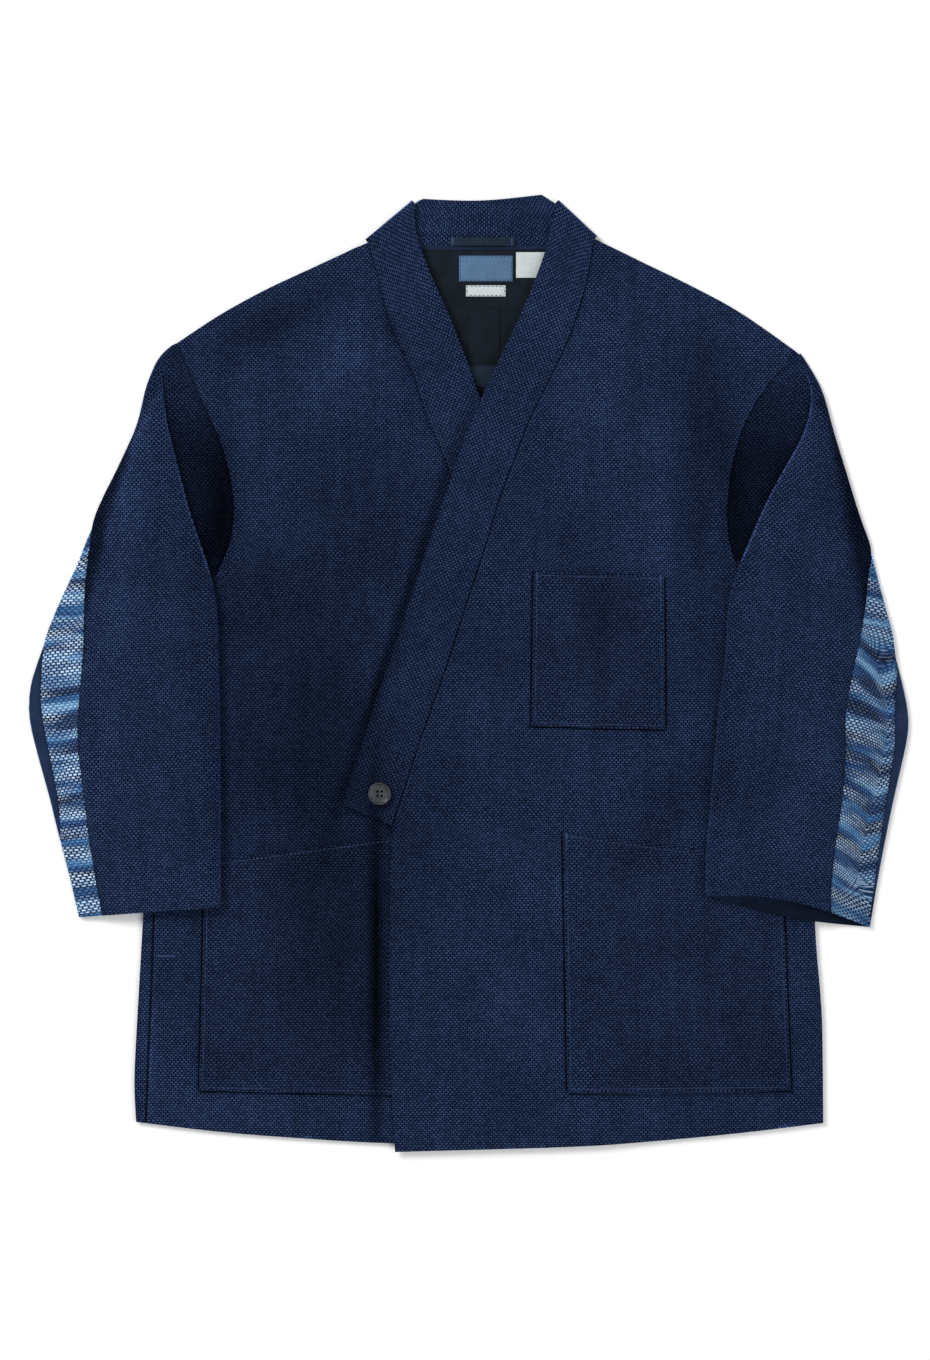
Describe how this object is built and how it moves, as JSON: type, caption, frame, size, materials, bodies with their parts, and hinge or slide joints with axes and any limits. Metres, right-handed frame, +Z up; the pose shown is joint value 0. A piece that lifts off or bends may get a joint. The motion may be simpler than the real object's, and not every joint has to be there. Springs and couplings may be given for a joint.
{
  "type": "haori jacket",
  "caption": "Thigh-length haori jacket of indigo sashiko cotton, buttoned and laid flat on its back, with a long band collar, patch pockets and rag-woven elbow strips.",
  "frame": {"origin": "centre of the laid-out jacket's outline, on the surface it lies on", "axes": "+Z up from the surface to the jacket's front, +Y from the hem towards the collar, +X towards the wearer's left sleeve"},
  "size_m": [0.7559, 0.8225, 0.0201],
  "materials": {
    "sashiko_cloth": "thick indigo cotton with raised stitched dots, matt",
    "sleeve_back_cloth": "plain indigo cotton, matt",
    "rag_strip_left": "rag-woven cotton in mottled blues, matt",
    "rag_strip_right": "rag-woven cotton in mottled blues, matt",
    "lining_cloth": "plain dark cotton, matt",
    "binding_tape": "cotton tape, matt",
    "woven_label_cloth": "woven blue label, bare",
    "white_label_cloth": "white printed label, bare",
    "button_plastic": "dark marbled resin, polished"
  },
  "bodies": {
    "root": {"back": "sashiko_cloth", "right_front": "sashiko_cloth", "left_front": "sashiko_cloth", "collar": "sashiko_cloth", "right_sleeve_front": "sashiko_cloth", "right_sleeve_strip": "rag_strip_right", "right_sleeve_back": "sleeve_back_cloth", "left_sleeve_front": "sashiko_cloth", "left_sleeve_strip": "rag_strip_left", "left_sleeve_back": "sleeve_back_cloth", "chest_pocket": "sashiko_cloth", "left_pocket": "sashiko_cloth", "right_pocket": "sashiko_cloth", "yoke_lining": "lining_cloth", "yoke_band": "binding_tape", "neck_tape": "binding_tape", "hanger_loop": "binding_tape", "woven_label": "woven_label_cloth", "size_label": "white_label_cloth", "care_label": "white_label_cloth", "button": "button_plastic"}
  },
  "joints": []
}
